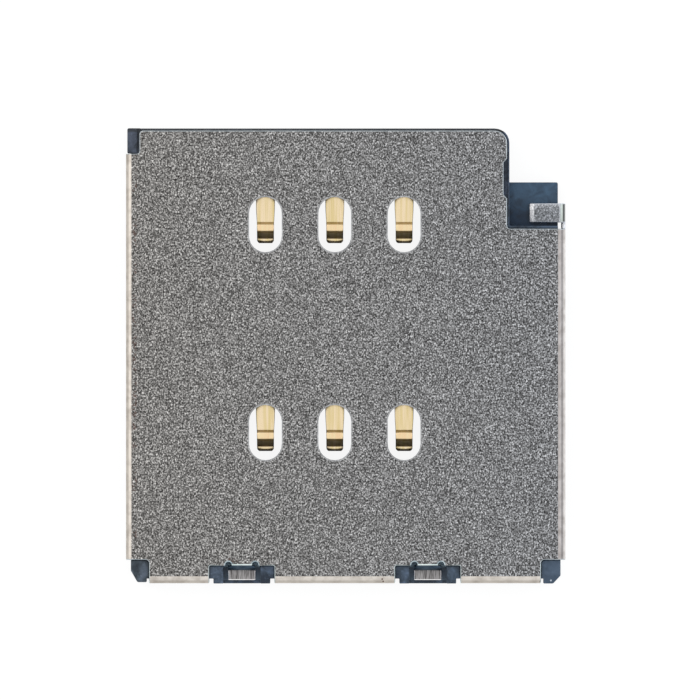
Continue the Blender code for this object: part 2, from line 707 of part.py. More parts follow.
def terminal_middle():
    """Middle plane of the fixed detect terminal, a travel away from the leaf."""
    return DETECT_PIVOT_X + DETECT_SHEET + DETECT_TRAVEL


def contact_shape():
    """One stamped contact with its pivot at the origin and its crest towards -Y."""
    half_sheet = CONTACT_SHEET / 2
    crest = CREST_TOP - half_sheet - PIVOT_HEIGHT
    level = LEVEL_TOP - half_sheet - PIVOT_HEIGHT
    foot = half_sheet - PIVOT_HEIGHT
    wing_end = WING_LENGTH / 2
    nose = -PIVOT_FROM_CREST
    profile = rounded_path([
        (TAIL_LENGTH, foot, 0),
        (wing_end + TAIL_STEP + STRIP_BEND / 2, foot, STRIP_BEND),
        (wing_end + STRIP_BEND / 2, 0, STRIP_BEND),
        (-wing_end - STRIP_BEND, 0, ARM_BEND),
        (nose + LEVEL_LENGTH, level, ARM_BEND),
        (nose + CREASE_FROM_CREST, level, STRIP_BEND),
        (nose + CREST_BACK, crest, STRIP_BEND),
        (nose - CREST_AHEAD, crest, STRIP_BEND),
        (nose - LIP_REACH, crest - LIP_DROP, STRIP_BEND),
        (nose - TIP_REACH, crest - TIP_DROP, 0),
    ], closed=False)
    strip = folded_strip("contact_strip", profile, CONTACT_SHEET, BELOW, -BELOW, ALONG_X)
    side = [
        (NOSE_WIDTH, -OUTSIDE),
        (NOSE_WIDTH, nose + CREASE_FROM_CREST),
        (WAIST_WIDTH, nose + WAIST_FROM_CREST),
        (ARM_WIDTH, nose + ARM_SHOULDER),
        (ARM_WIDTH, -wing_end),
        (WING_WIDTH, -wing_end),
        (WING_WIDTH, wing_end),
        (TAIL_WIDTH, wing_end),
        (TAIL_WIDTH, OUTSIDE),
    ]
    outline = [(width / 2, along, 0) for width, along in side]
    outline.extend((-half_width, along, 0) for half_width, along, _ in reversed(outline[:]))
    blank = prism("contact_blank", rounded_path(outline), BELOW, ABOVE)
    combine(strip, blank, "INTERSECT")
    return strip


def make_contacts(material):
    model = contact_shape()
    evaluated = model.evaluated_get(bpy.context.evaluated_depsgraph_get())
    mesh = bpy.data.meshes.new_from_object(evaluated)
    mesh.name = "contact_stamping"
    bpy.data.objects.remove(model, do_unlink=True)
    for name, x, y in crest_places():
        item = bpy.data.objects.new(name, mesh)
        item.location = Vector((x, y + PIVOT_FROM_CREST, PIVOT_HEIGHT)) * MM
        cutters.objects.link(item)
        as_part(item, name, material)


def under_arm(name):
    """Cutter that leaves a detect strip its full height only at the anchor."""
    under = box_corners(-OUTSIDE, BELOW, DETECT_ROOT, DETECT_BOTTOM)
    return prism(name, rounded_path(under), -OUTSIDE, OUTSIDE, ALONG_X)


def make_detect_spring(material):
    """Leaf about its pivot: an anchored root, a straight arm and a nose into the tray path."""
    nose_x = DETECT_NOSE_X + DETECT_SHEET / 2 - DETECT_PIVOT_X
    end = -DETECT_LEAF_LENGTH
    path = rounded_path([
        (0, DETECT_ANCHOR, 0),
        (0, end + LEAF_KNEE, LEAF_KNEE_BEND),
        (nose_x, end + LEAF_NOSE_BACK, LEAF_NOSE_BEND),
        (nose_x, end + LEAF_NOSE_AHEAD, LEAF_NOSE_BEND),
        (LEAF_TIP_X, end, 0),
    ], closed=False)
    leaf = folded_strip("leaf", path, DETECT_SHEET, 0, DETECT_TOP, WORLD_UP)
    cut(leaf, under_arm("under_leaf"))
    leaf.location = Vector((DETECT_PIVOT_X, DETECT_PIVOT_Y, 0)) * MM
    return as_part(leaf, "detect_spring", material)


def make_detect_terminal(material):
    """Fixed blade facing the leaf, anchored beside the leaf's root."""
    path = [Vector((0, DETECT_ANCHOR)), Vector((0, -DETECT_BLADE_LENGTH))]
    blade = folded_strip("blade", path, DETECT_SHEET, 0, DETECT_TOP, WORLD_UP)
    cut(blade, under_arm("under_blade"))
    blade.location = Vector((terminal_middle(), DETECT_PIVOT_Y, 0)) * MM
    return as_part(blade, "detect_terminal", material)


clear_scene()
parts = new_collection("sim_card_socket")
cutters = new_collection("cutters")
steel = principled("matt_stainless_sheet", (0.22, 0.21, 0.205), 1.0, 0.45)
plastic = principled("moulded_lcp", (0.035, 0.045, 0.06), 0.0, 0.5)
gold = principled("gold_plated_alloy", (0.85, 0.65, 0.33), 1.0, 0.25)
planned = []
make_contacts(gold)
make_detect_spring(gold)
make_detect_terminal(gold)
make_housing(plastic)
make_shell(steel)
for target, tool, operation in planned:
    combine(target, tool, operation)
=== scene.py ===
import json
import math

import bmesh
import bpy
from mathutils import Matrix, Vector


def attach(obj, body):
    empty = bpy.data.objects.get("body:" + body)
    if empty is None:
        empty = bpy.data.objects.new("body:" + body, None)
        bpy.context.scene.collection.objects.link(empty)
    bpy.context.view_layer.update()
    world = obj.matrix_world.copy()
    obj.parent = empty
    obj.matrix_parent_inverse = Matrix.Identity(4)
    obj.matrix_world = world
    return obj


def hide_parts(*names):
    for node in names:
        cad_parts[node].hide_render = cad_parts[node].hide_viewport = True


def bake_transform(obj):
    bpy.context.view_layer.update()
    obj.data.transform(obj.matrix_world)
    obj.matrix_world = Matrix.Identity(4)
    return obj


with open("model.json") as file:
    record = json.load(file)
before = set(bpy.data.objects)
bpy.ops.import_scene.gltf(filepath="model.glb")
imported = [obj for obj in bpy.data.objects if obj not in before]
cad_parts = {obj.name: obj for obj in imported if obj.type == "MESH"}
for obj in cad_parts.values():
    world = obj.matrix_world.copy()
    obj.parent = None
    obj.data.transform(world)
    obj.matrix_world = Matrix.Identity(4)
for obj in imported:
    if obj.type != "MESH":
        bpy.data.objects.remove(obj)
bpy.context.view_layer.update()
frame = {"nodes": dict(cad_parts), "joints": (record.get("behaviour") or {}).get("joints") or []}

# The photograph's frame: 700 pixels wide, with the part's origin at this pixel
FRAME_PIXELS = 700
PIXELS_PER_MM = 27.3
ORIGIN_PIXEL_X = 345.7
ORIGIN_PIXEL_Y = 356.15

# Sizes and places in millimetres, from the part's middle and up from the board. OUTSIDE lies
# beyond all of its edges, for a band that is open at one end
MM = 0.001
OUTSIDE = 10
CAMERA_HEIGHT = 900
SENSOR_WIDTH = 36
PLATE_TOP = 1.40
PLATE_HALF_WIDTH = 8.05
BENDS_BOTTOM = 1.12
RIGHT_FOLD = 7.78
REAR_FOLD = -8.065
NOTCHES = (-3.806, 3.007)
NOTCH_FRONT = -7.662
LATCH_HALF_WIDTH = 0.52
RELIEF_OFFSET = 0.49
RELIEF_MIDDLE = -7.646
SLOT_COLUMNS = (-2.94, -0.40, 2.14)
SLOT_ROWS = (4.82, -2.80)
SLOT_HALF_WIDTH = 0.60
SLOT_HALF_STRAIGHT = 0.41

FIXED_BODY = "socket"


def srgb(code):
    """Linear colour of an sRGB hex code."""
    channels = [int(code[start:start + 2], 16) / 255 for start in (1, 3, 5)]
    linear = [c / 12.92 if c <= 0.04045 else ((c + 0.055) / 1.055) ** 2.4 for c in channels]
    return (*linear, 1.0)


def per_mm(size):
    """Texture scale, in turns per metre, for a pattern whose features are this many millimetres."""
    return 1 / (size * MM)


def add_node(tree, kind, *inputs, stops=(), **named):
    """Add one node. Its inputs are nodes, outputs, values or hex codes, in the order of the live
    sockets or by a socket's name. Names in small letters are its settings, and stops a ramp's."""
    node = tree.nodes.new(kind)
    for name, value in named.items():
        if name.islower():
            setattr(node, name, value)
    sources = list(zip([socket for socket in node.inputs if socket.enabled], inputs))
    sources += [(node.inputs[name.replace("_", " ")], value) for name, value in named.items()
                if not name.islower()]
    for socket, value in sources:
        if isinstance(value, bpy.types.Node):
            value = next(output for output in value.outputs if output.enabled)
        if isinstance(value, bpy.types.NodeSocket):
            tree.links.new(value, socket)
        elif isinstance(value, str) and value.startswith("#"):
            socket.default_value = srgb(value)
        else:
            socket.default_value = value
    for index, (position, code) in enumerate(stops):
        if index == len(node.color_ramp.elements):
            node.color_ramp.elements.new(1.0)
        node.color_ramp.elements[index].position = position
        node.color_ramp.elements[index].color = srgb(code)
    return node


def new_material(name):
    """A node material, and its tree with nothing in it yet."""
    material = bpy.data.materials.new(name)
    material.use_nodes = True
    material.node_tree.nodes.clear()
    return material, material.node_tree


def laid_over(tree, surface, *layers, blend="MIX"):
    """Lay layers over a surface in turn, each a (share, colour) pair."""
    for share, colour in layers:
        surface = add_node(tree, "ShaderNodeMix", share, surface, colour, data_type="RGBA",
                           blend_type=blend)
    return surface


def within(tree, *bands):
    """1 where every wired length lies between its two limits in millimetres, and 0 elsewhere."""
    share = 1.0
    for length, low, high in bands:
        middle = (low + high) / 2 * MM
        reach = (high - low) / 2 * MM
        inside = add_node(tree, "ShaderNodeMath", length, middle, reach, operation="COMPARE")
        share = add_node(tree, "ShaderNodeMath", share, inside, operation="MULTIPLY")
    return share


def from_nearest(tree, length, places):
    """Distance from a wired length to the nearest of some places in millimetres."""
    nearest = OUTSIDE * MM
    for place in places:
        offset = add_node(tree, "ShaderNodeMath", length, place * MM, operation="SUBTRACT")
        distance = add_node(tree, "ShaderNodeMath", offset, operation="ABSOLUTE")
        nearest = add_node(tree, "ShaderNodeMath", nearest, distance, operation="MINIMUM")
    return nearest


def near(tree, across, along, x, y, reach):
    """1 where a wired place seen from above lies within reach of a point, all in millimetres."""
    offset_across = add_node(tree, "ShaderNodeMath", across, x * MM, operation="SUBTRACT")
    offset_along = add_node(tree, "ShaderNodeMath", along, y * MM, operation="SUBTRACT")
    offset = add_node(tree, "ShaderNodeCombineXYZ", offset_across, offset_along)
    distance = add_node(tree, "ShaderNodeVectorMath", offset, operation="LENGTH")
    return add_node(tree, "ShaderNodeMath", distance, reach * MM, operation="LESS_THAN")


def rolled_grain(tree, place):
    """Lightness of the matt-rolled face, from 0 to 1: soft pits with a crystal facet in each."""
    rolled = add_node(tree, "ShaderNodeMapping", place, Scale=(1.0, 0.8, 1.0))
    pits = add_node(tree, "ShaderNodeTexNoise", rolled, Scale=per_mm(0.05), Detail=1.0, Roughness=0.6)
    crystals = add_node(tree, "ShaderNodeTexVoronoi", rolled, Scale=per_mm(0.045))
    facets = add_node(tree, "ShaderNodeSeparateColor", crystals.outputs["Color"])
    fleck = add_node(tree, "ShaderNodeMath", facets, 0.22, operation="MULTIPLY")
    return add_node(tree, "ShaderNodeMath", pits, 0.78, fleck, operation="MULTIPLY_ADD")


def ironed_bends_and_highlights(tree, x, y, level, leaning, smear):
    """The bends, where the fold has ironed the grain flat, painted as a cream band of highlight with a
    darker band of painted shade across the right fold: faces that lean away from level, the whole right
    edge and the rear flange."""
    at_right = within(tree, (x, RIGHT_FOLD, OUTSIDE))
    flange = within(tree, (y, -OUTSIDE, REAR_FOLD))
    edges = add_node(tree, "ShaderNodeMath", at_right, flange, operation="MAXIMUM")
    share = add_node(tree, "ShaderNodeMath", edges, leaning, operation="MAXIMUM")
    # Painted highlight: the cream band is lighter where a face lies nearer level
    left = add_node(tree, "ShaderNodeValToRGB", level, stops=[(0.74, "#c8c1b8"), (0.86, "#e6dfd6")])
    # Painted highlight and painted shade: light and dark bands across the right fold
    across = add_node(tree, "ShaderNodeMapRange", x, RIGHT_FOLD * MM, PLATE_HALF_WIDTH * MM)
    right = add_node(tree, "ShaderNodeValToRGB", across, stops=[
        (0.30, "#ccc6c3"),
        (0.46, "#9a9694"),
        (0.66, "#a09c9a"),
        (0.78, "#e6e2df"),
    ])
    streaks = add_node(tree, "ShaderNodeValToRGB", smear, stops=[(0.30, "#dedcda"), (0.60, "#ffffff")])
    bend = laid_over(tree, left, (at_right, right))
    return share, laid_over(tree, bend, (1.0, streaks), blend="MULTIPLY")


def dulled_strap_and_highlights(tree, x, y, z, leaning, grain):
    """The strap over the front-right block: dull on top, painted pale at its curved-down end as highlight,
    and painted in light and dark bands as highlight and shade where it turns down at the right."""
    left_end = 5.0
    rear_edge = 4.8
    link_top = 0.5
    turn_start = 7.85
    share = within(tree, (x, left_end, OUTSIDE), (y, rear_edge, OUTSIDE), (z, link_top, BENDS_BOTTOM))
    face = add_node(tree, "ShaderNodeValToRGB", grain, stops=[
        (0.30, "#4f5153"),
        (0.54, "#8d9094"),
        (0.72, "#cfd2d8"),
    ])
    # Painted highlight: the strap's curved-down end is painted pale
    end = add_node(tree, "ShaderNodeValToRGB", grain, stops=[(0.30, "#b8bbc0"), (0.70, "#f4f5f8")])
    # Painted highlight and painted shade: light and dark bands where the strap turns down
    turn = add_node(tree, "ShaderNodeMapRange", x, turn_start * MM, PLATE_HALF_WIDTH * MM)
    turn_highlight_and_shade = add_node(tree, "ShaderNodeValToRGB", turn, stops=[
        (0.05, "#9ea3a3"),
        (0.15, "#bcc3bd"),
        (0.46, "#c3cac3"),
        (0.60, "#5a5d5b"),
        (0.72, "#5a5d5b"),
        (0.95, "#a9abaa"),
    ])
    at_turn = within(tree, (x, turn_start + 0.01, OUTSIDE))
    return share, laid_over(tree, face, (leaning, end), (at_turn, turn_highlight_and_shade))


def drawn_latch(tree, place, offset, y, smear):
    """The latches: a neck that drops steeply, painted dark as shade, and a foot with ribs along the pull.
    """
    drawn = add_node(tree, "ShaderNodeMapping", place, Scale=(1.0, 0.08, 0.08))
    ribs = add_node(tree, "ShaderNodeTexNoise", drawn, Scale=per_mm(0.03), Detail=1.0)
    foot = add_node(tree, "ShaderNodeValToRGB", ribs, stops=[(0.36, "#6b6867"), (0.64, "#b0adac")])
    # Painted shade: the steep neck is painted dark navy
    neck = add_node(tree, "ShaderNodeValToRGB", smear, stops=[(0.35, "#2f3d4a"), (0.65, "#46535f")])
    foot_front = -7.845
    share = within(tree, (offset, -OUTSIDE, LATCH_HALF_WIDTH), (y, -OUTSIDE, NOTCH_FRONT))
    return share, laid_over(tree, foot, (within(tree, (y, foot_front, OUTSIDE)), neck))


def relief_rim_highlights(tree, offset, y, smear):
    """Painted highlights: bright rims round the bend reliefs, and a bright line along the fold between
    them.
    """
    fold_front = -7.618
    rim_reach = 0.155
    fold = within(tree, (offset, -OUTSIDE, LATCH_HALF_WIDTH), (y, -OUTSIDE, fold_front))
    round_reliefs = near(tree, offset, y, RELIEF_OFFSET, RELIEF_MIDDLE, rim_reach)
    both = add_node(tree, "ShaderNodeMath", round_reliefs, fold, operation="MAXIMUM")
    on_plate = within(tree, (y, NOTCH_FRONT, OUTSIDE))
    share = add_node(tree, "ShaderNodeMath", both, on_plate, operation="MULTIPLY")
    # Painted highlight on the rims, and a brighter one on the fold line
    rim = add_node(tree, "ShaderNodeValToRGB", smear, stops=[(0.35, "#9fb0b7"), (0.65, "#cbd8dc")])
    line = add_node(tree, "ShaderNodeValToRGB", smear, stops=[(0.35, "#cfdedd"), (0.65, "#eef7f5")])
    return share, laid_over(tree, rim, (fold, line))


def slot_rim_highlights(tree, x, y, smear):
    """Painted highlight of the rolled edge round the pierced slots: narrow rims, less strong."""
    rim_width = 0.048
    across = from_nearest(tree, x, SLOT_COLUMNS)
    along = from_nearest(tree, y, SLOT_ROWS)
    past = add_node(tree, "ShaderNodeMath", along, SLOT_HALF_STRAIGHT * MM, operation="SUBTRACT")
    past = add_node(tree, "ShaderNodeMath", past, 0.0, operation="MAXIMUM")
    at_rim = near(tree, across, past, 0, 0, SLOT_HALF_WIDTH + rim_width)
    # Painted highlight: a pale rim round each slot
    share = add_node(tree, "ShaderNodeMath", at_rim, 0.65, operation="MULTIPLY")
    return share, add_node(tree, "ShaderNodeValToRGB", smear, stops=[(0.35, "#a5a6a7"), (0.65, "#c9cacb")])


def flux_and_nicks(tree, place, x, y):
    """Brown specks of flux by the left edge and the left notch, and three nicks in the flange."""
    stain = add_node(tree, "ShaderNodeTexNoise", place, Scale=per_mm(0.11), Detail=2.0)
    patches = add_node(tree, "ShaderNodeTexNoise", place, Scale=per_mm(0.9), Detail=1.0)
    speck = add_node(tree, "ShaderNodeMath", stain, 0.54, operation="GREATER_THAN")
    patch = add_node(tree, "ShaderNodeMath", patches, 0.50, operation="GREATER_THAN")
    spotted = add_node(tree, "ShaderNodeMath", speck, patch, operation="MULTIPLY")
    left_edge = within(tree, (x, -7.81, -7.66))
    by_notch = within(tree, (x, -4.3, -3.3), (y, -7.58, -7.40))
    by_edge = add_node(tree, "ShaderNodeMath", left_edge, by_notch, operation="MAXIMUM")
    flux = add_node(tree, "ShaderNodeMath", spotted, by_edge, operation="MULTIPLY")
    share = add_node(tree, "ShaderNodeMath", flux, 0.65, operation="MULTIPLY")
    for nick_x, nick_y, reach in ((1.337, -8.167, 0.03), (1.374, -8.251, 0.03), (7.136, -8.255, 0.035)):
        nick = near(tree, x, y, nick_x, nick_y, reach)
        share = add_node(tree, "ShaderNodeMath", share, nick, operation="MAXIMUM")
    return share, "#624b43"


def cover_steel():
    """Stainless strip with a matt-rolled face: dark and light grains less than a tenth of a
    millimetre across, ironed smooth at the bends and pulled into ribs on the latch feet."""
    material, tree = new_material("stainless_strip_matt_rolled")
    place = add_node(tree, "ShaderNodeTexCoord").outputs["Object"]
    x, y, z = add_node(tree, "ShaderNodeSeparateXYZ", place).outputs
    normal = add_node(tree, "ShaderNodeNewGeometry").outputs["Normal"]
    upward = add_node(tree, "ShaderNodeSeparateXYZ", normal).outputs["Z"]
    level = add_node(tree, "ShaderNodeMath", upward, operation="ABSOLUTE")
    leaning = add_node(tree, "ShaderNodeMapRange", level, 0.997, 0.96, interpolation_type="SMOOTHSTEP")
    grain = rolled_grain(tree, place)
    smear = add_node(tree, "ShaderNodeTexNoise", place, Scale=per_mm(0.3), Detail=3.0)
    speckle = add_node(tree, "ShaderNodeValToRGB", grain, stops=[
        (0.26, "#232222"),
        (0.42, "#5d5c5b"),
        (0.54, "#8e8d8c"),
        (0.76, "#f6f5f4"),
    ])

    # The strip's colour runs a trace warmer to the left, cooler to the right
    across = add_node(tree, "ShaderNodeMapRange", x, -8 * MM, 8 * MM)
    tint_across = add_node(tree, "ShaderNodeValToRGB", across, stops=[(0.0, "#fffdf9"), (1.0, "#f8fbff")])
    plate = laid_over(tree, speckle, (1.0, tint_across), blend="MULTIPLY")

    # The walls below the bends are speckled again, but the strap's link is painted white as light, in the
    # shade between strap and wall
    walls = within(tree, (z, -OUTSIDE, BENDS_BOTTOM))
    flat = add_node(tree, "ShaderNodeMath", upward, 0.9, operation="GREATER_THAN")
    link = add_node(tree, "ShaderNodeMath", within(tree, (z, -OUTSIDE, 0.5)), flat, operation="MULTIPLY")
    offset = from_nearest(tree, x, NOTCHES)
    colour = laid_over(
        tree, plate,
        ironed_bends_and_highlights(tree, x, y, level, leaning, smear),
        (walls, speckle),
        dulled_strap_and_highlights(tree, x, y, z, leaning, grain),
        # Painted light: the strap's link is painted white
        (link, "#ffffff"),
        drawn_latch(tree, place, offset, y, smear),
        flux_and_nicks(tree, place, x, y),
        relief_rim_highlights(tree, offset, y, smear),
        slot_rim_highlights(tree, x, y, smear),
    )
    roughness = add_node(tree, "ShaderNodeMapRange", grain, To_Min=0.62, To_Max=0.42)
    bump = add_node(tree, "ShaderNodeBump", Height=grain, Strength=0.2, Distance=0.01 * MM)
    shader = add_node(tree, "ShaderNodeBsdfPrincipled", colour, Metallic=1.0, Roughness=roughness,
                      Normal=bump)
    add_node(tree, "ShaderNodeOutputMaterial", shader)
    return material


def sheared_steel():
    """Edge where the punch cut the strip: clean, bright and slightly blue beside the matt face. The
    lips of the latches and of the strap are painted brighter as highlight."""
    material, tree = new_material("stainless_strip_sheared_edge")
    place = add_node(tree, "ShaderNodeTexCoord").outputs["Object"]
    _, y, z = add_node(tree, "ShaderNodeSeparateXYZ", place).outputs
    drag = add_node(tree, "ShaderNodeTexNoise", place, Scale=per_mm(0.2), Detail=1.0)
    cut = add_node(tree, "ShaderNodeValToRGB", drag, stops=[(0.3, "#a2abb0"), (0.7, "#c4cccf")])
    rear_cut = add_node(tree, "ShaderNodeValToRGB", drag, stops=[(0.3, "#aab6b7"), (0.7, "#cdd8d8")])
    latch_lip_highlight = add_node(tree, "ShaderNodeValToRGB", drag, stops=[(0.3, "#f1ebec"), (0.7, "#ffffff")])
    strap_lip_highlight = add_node(tree, "ShaderNodeValToRGB", drag, stops=[(0.3, "#c3c8d0"), (0.7, "#dfe3ea")])
    notch_rear = -7.60
    colour = laid_over(
        tree, cut,
        (within(tree, (y, -OUTSIDE, notch_rear)), rear_cut),
        # Painted highlight on the low lips of the latches and of the strap
        (within(tree, (z, -OUTSIDE, BENDS_BOTTOM)), latch_lip_highlight),
        (within(tree, (z, -OUTSIDE, BENDS_BOTTOM), (y, 0, OUTSIDE)), strap_lip_highlight),
    )
    shader = add_node(tree, "ShaderNodeBsdfPrincipled", colour, Metallic=1.0, Roughness=0.4)
    add_node(tree, "ShaderNodeOutputMaterial", shader)
    return material


def shaded_low_faces(tree, y, z, flow):
    """The low front faces are painted darker and bluer as shade, darkest towards the rear under the
    plate's edge.
    """
    forward = add_node(tree, "ShaderNodeMapRange", y, 5.2 * MM, 5.8 * MM)
    # Painted shade, darkest at the rear
    polished = add_node(tree, "ShaderNodeValToRGB", forward, stops=[(0.0, "#122e46"), (1.0, "#3a546b")])
    clouds = add_node(tree, "ShaderNodeValToRGB", flow, stops=[(0.35, "#b4b8bd"), (0.65, "#ffffff")])
    colour = laid_over(tree, polished, (1.0, clouds), blend="MULTIPLY")
    return within(tree, (z, -OUTSIDE, 0.76), (y, 0, OUTSIDE)), colour


def lit_latch_pockets(tree, y, z, flow):
    """The pockets behind the latches are painted paler as light in their shade, most of all the ledge
    under the bend reliefs.
    """
    # Painted light: the pocket floor and the ledge are lifted paler
    floor = add_node(tree, "ShaderNodeValToRGB", flow, stops=[(0.3, "#4c5966"), (0.7, "#647484")])
    ledge = add_node(tree, "ShaderNodeValToRGB", flow, stops=[(0.3, "#8399a7"), (0.7, "#a3bac6")])
    forward = add_node(tree, "ShaderNodeMapRange", y, -7.76 * MM, -7.70 * MM)
    share = within(tree, (z, -OUTSIDE, 1.20), (y, -8.215, -7.3))
    return share, laid_over(tree, floor, (forward, ledge))


def moulded_plastic():
    """Glass-filled liquid crystal polymer, moulded: dark blue-grey, cloudy with flow marks and fine
    pale fibre specks, half matt. The front lip is painted dark as shade."""
    material, tree = new_material("liquid_crystal_polymer_moulded")
    place = add_node(tree, "ShaderNodeTexCoord").outputs["Object"]
    x, y, z = add_node(tree, "ShaderNodeSeparateXYZ", place).outputs
    flow = add_node(tree, "ShaderNodeTexNoise", place, Scale=per_mm(0.45), Detail=3.0, Distortion=0.8)
    fibre = add_node(tree, "ShaderNodeTexNoise", place, Scale=per_mm(0.08), Detail=2.0)
    clouds = add_node(tree, "ShaderNodeValToRGB", flow, stops=[
        (0.32, "#1c2835"),
        (0.50, "#34424f"),
        (0.68, "#526275"),
    ])
    specks = add_node(tree, "ShaderNodeValToRGB", fibre, stops=[(0.56, "#000000"), (0.76, "#38424c")])
    textured = laid_over(tree, clouds, (1.0, specks), blend="ADD")

    # The colour runs greyer at the left, bluer at the right and darker towards the front
    across = add_node(tree, "ShaderNodeMapRange", x, -8 * MM, 8 * MM)
    tone_across = add_node(tree, "ShaderNodeValToRGB", across, stops=[
        (0.0, "#fff2e6"),
        (0.3, "#f4f6ff"),
        (1.0, "#f8fcff"),
    ])
    textured = laid_over(tree, textured, (1.0, tone_across), blend="MULTIPLY")
    at_right = add_node(tree, "ShaderNodeMapRange", x, 7.0 * MM, 7.3 * MM)
    right_end = add_node(tree, "ShaderNodeValToRGB", flow, stops=[(0.30, "#364759"), (0.70, "#4b5c6f")])
    textured = laid_over(tree, textured, (at_right, right_end))
    forward = add_node(tree, "ShaderNodeMapRange", y, 4 * MM, 6 * MM)
    shaded = add_node(tree, "ShaderNodeValToRGB", forward, stops=[(0.0, "#ffffff"), (1.0, "#e3e0ea")])
    textured = laid_over(tree, textured, (1.0, shaded), blend="MULTIPLY")

    chipped = add_node(tree, "ShaderNodeValToRGB", flow, stops=[(0.3, "#aab4c0"), (0.7, "#c4ccd6")])
    # Painted shade: the front lip beyond the plate's edge is painted dark
    front_lip_shade = add_node(tree, "ShaderNodeValToRGB", flow, stops=[(0.3, "#1c2126"), (0.7, "#343a42")])
    colour = laid_over(
        tree, textured,
        shaded_low_faces(tree, y, z, flow),
        lit_latch_pockets(tree, y, z, flow),
        (near(tree, x, y, 7.52, -8.218, 0.035), chipped),
        (within(tree, (y, 8.22, OUTSIDE)), front_lip_shade),
    )
    bump = add_node(tree, "ShaderNodeBump", Height=fibre, Strength=0.3, Distance=0.01 * MM)
    shader = add_node(tree, "ShaderNodeBsdfPrincipled", colour, Roughness=0.42, IOR=1.42, Normal=bump)
    add_node(tree, "ShaderNodeOutputMaterial", shader)
    return material


def gold_plate():
    """Hard gold over nickel on a copper-alloy spring: pale yellow, polished along the strip, with
    fine rolling lines that run down the arm. The crease below the crest is painted darker as shade,
    the crest painted a rosier gold as highlight, and the drawn faces that lean away from level are duller."""
    material, tree = new_material("hard_gold_on_copper_alloy")
    place = add_node(tree, "ShaderNodeTexCoord").outputs["Object"]
    z = add_node(tree, "ShaderNodeSeparateXYZ", place).outputs["Z"]
    stretched = add_node(tree, "ShaderNodeMapping", place, Scale=(1.0, 0.05, 0.2))
    lines = add_node(tree, "ShaderNodeTexNoise", stretched, Scale=per_mm(0.09), Detail=2.0)
    gold = add_node(tree, "ShaderNodeValToRGB", lines, stops=[(0.35, "#efd9a2"), (0.65, "#ffe9c4")])
    # Painted shade: the crease below the crest is painted darker
    rise = add_node(tree, "ShaderNodeMapRange", z, 1.075 * MM, 1.20 * MM)
    crease_shade = add_node(tree, "ShaderNodeValToRGB", rise, stops=[
        (0.0, "#fffefb"),
        (0.08, "#e6dac2"),
        (0.70, "#e0d2b4"),
        (0.88, "#fffdf6"),
    ])
    gold = laid_over(tree, gold, (1.0, crease_shade), blend="MULTIPLY")
    # Painted highlight: the crest is painted a rosier, brighter gold
    crest_highlight_band = add_node(tree, "ShaderNodeMapRange", z, 1.165 * MM, 1.185 * MM)
    crest = add_node(tree, "ShaderNodeValToRGB", lines, stops=[(0.35, "#ffddae"), (0.65, "#ffe7b8")])
    colour = laid_over(tree, gold, (crest_highlight_band, crest))
    normal = add_node(tree, "ShaderNodeNewGeometry").outputs["Normal"]
    upward = add_node(tree, "ShaderNodeSeparateXYZ", normal).outputs["Z"]
    roughness = add_node(tree, "ShaderNodeMapRange", upward, 0.75, 0.95, 0.42, 0.24)
    bump = add_node(tree, "ShaderNodeBump", Height=lines, Strength=0.15, Distance=0.005 * MM)
    shader = add_node(tree, "ShaderNodeBsdfPrincipled", colour, Metallic=1.0, Roughness=roughness,
                      Normal=bump)
    add_node(tree, "ShaderNodeOutputMaterial", shader)
    return material


def pale_floor():
    """Matt white laminate table: seen as near white, and it still takes a faint shadow."""
    material, tree = new_material("white_laminate_table")
    rays = add_node(tree, "ShaderNodeLightPath")
    seen = rays.outputs["Is Camera Ray"]
    for ray in ("Is Glossy Ray", "Is Transmission Ray"):
        seen = add_node(tree, "ShaderNodeMath", seen, rays.outputs[ray], operation="MAXIMUM")
    lit = add_node(tree, "ShaderNodeBsdfDiffuse", "#f2f2f2")
    glow = add_node(tree, "ShaderNodeEmission", "#ffffff", 0.90)
    shaded = add_node(tree, "ShaderNodeBsdfDiffuse", "#696969")
    bright = add_node(tree, "ShaderNodeAddShader", glow, shaded)
    surface = add_node(tree, "ShaderNodeMixShader", seen, lit, bright)
    add_node(tree, "ShaderNodeOutputMaterial", surface)
    return material


def plain_mesh(item, name):
    """Replace an object that has modifiers with one that holds their result."""
    evaluated = item.evaluated_get(bpy.context.evaluated_depsgraph_get())
    mesh = bpy.data.meshes.new_from_object(evaluated)
    mesh.name = name
    bpy.data.objects.remove(item, do_unlink=True)
    result = bpy.data.objects.new(name, mesh)
    bpy.context.scene.collection.objects.link(result)
    return result


def eased_copy(node, name, radius, materials, sharp_boxes=()):
    """Copy of a CAD solid with its sharp edges eased, as tumbling or a mould's radius leaves them.
    The last material is that of the eased edges. sharp_boxes lists (low, high) corners in
    millimetres between which the edges stay sharp."""
    flat_angle = 0.4
    least_turn = 32
    most_turn = 150
    mesh = frame["nodes"][node].data.copy()
    shape = bmesh.new()
    shape.from_mesh(mesh)
    bmesh.ops.remove_doubles(shape, verts=shape.verts, dist=1e-8)
    bmesh.ops.dissolve_limit(shape, angle_limit=math.radians(flat_angle), verts=shape.verts,
                             edges=shape.edges)
    for face in shape.faces:
        face.smooth = True
        face.material_index = 0
    weights = shape.edges.layers.float.new("bevel_weight_edge")
    for edge in shape.edges:
        turn = math.degrees(edge.calc_face_angle())
        middle = (edge.verts[0].co + edge.verts[1].co) / (2 * MM)
        sharp = any(all(low[axis] < middle[axis] < high[axis] for axis in range(3))
                    for low, high in sharp_boxes)
        if least_turn < turn < most_turn and not sharp:
            edge[weights] = 1.0
    shape.to_mesh(mesh)
    shape.free()
    mesh.materials.clear()
    for material in materials:
        mesh.materials.append(material)
    item = bpy.data.objects.new(name, mesh)
    bpy.context.scene.collection.objects.link(item)
    ease = item.modifiers.new("eased_edges", "BEVEL")
    ease.width = radius * MM
    ease.segments = 2
    ease.limit_method = "WEIGHT"
    ease.use_clamp_overlap = False
    ease.material = len(materials) - 1
    weigh = item.modifiers.new("level_faces", "WEIGHTED_NORMAL")
    weigh.keep_sharp = True
    return plain_mesh(item, name)


